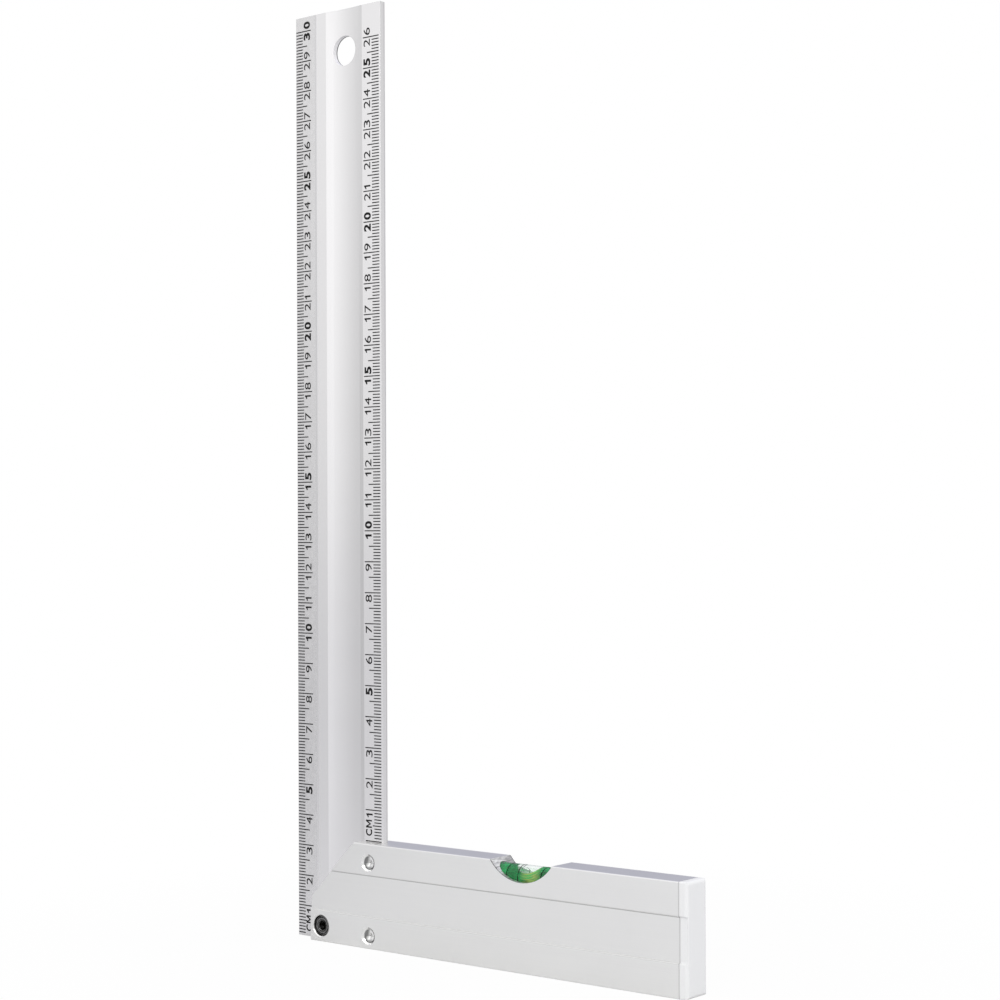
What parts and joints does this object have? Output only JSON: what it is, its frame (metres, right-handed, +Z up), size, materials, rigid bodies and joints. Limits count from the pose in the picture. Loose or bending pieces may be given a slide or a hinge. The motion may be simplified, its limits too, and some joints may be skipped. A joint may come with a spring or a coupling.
{
  "type": "carpenter square",
  "caption": "Carpenter square with a ruled aluminium blade, a hollow aluminium stock and a spirit vial let into the stock's top edge.",
  "frame": {"origin": "middle of the base, on the surface that the square stands on", "axes": "+X along the stock, from the blade to the end cap; +Y from the ruled front to the back; +Z up the blade"},
  "size_m": [0.1574, 0.0102, 0.3047],
  "materials": {
    "blade_aluminium": "natural anodised extrusion, fine lines along the blade",
    "ink": "black printed ink",
    "stock_aluminium": "satin anodised extrusion",
    "heel_metal": "plain extruded filler",
    "rivet_aluminium": "bright, pressed with a dimple",
    "black_steel": "blackened steel",
    "vial_clear": "clear acrylic",
    "vial_green": "clear green liquid",
    "cap_plastic": "moulded white plastic"
  },
  "bodies": {
    "root": {"blade": "blade_aluminium", "outer_scale": "ink", "inner_scale": "ink", "stock": "stock_aluminium", "heel_block": "heel_metal", "upper_rivet": "rivet_aluminium", "lower_rivet": "rivet_aluminium", "clamp_screw": "black_steel", "vial_tube": "vial_clear", "vial_plug": "vial_clear", "vial_liquid": "vial_green", "vial_rings": "ink", "end_cap": "cap_plastic"}
  },
  "joints": []
}
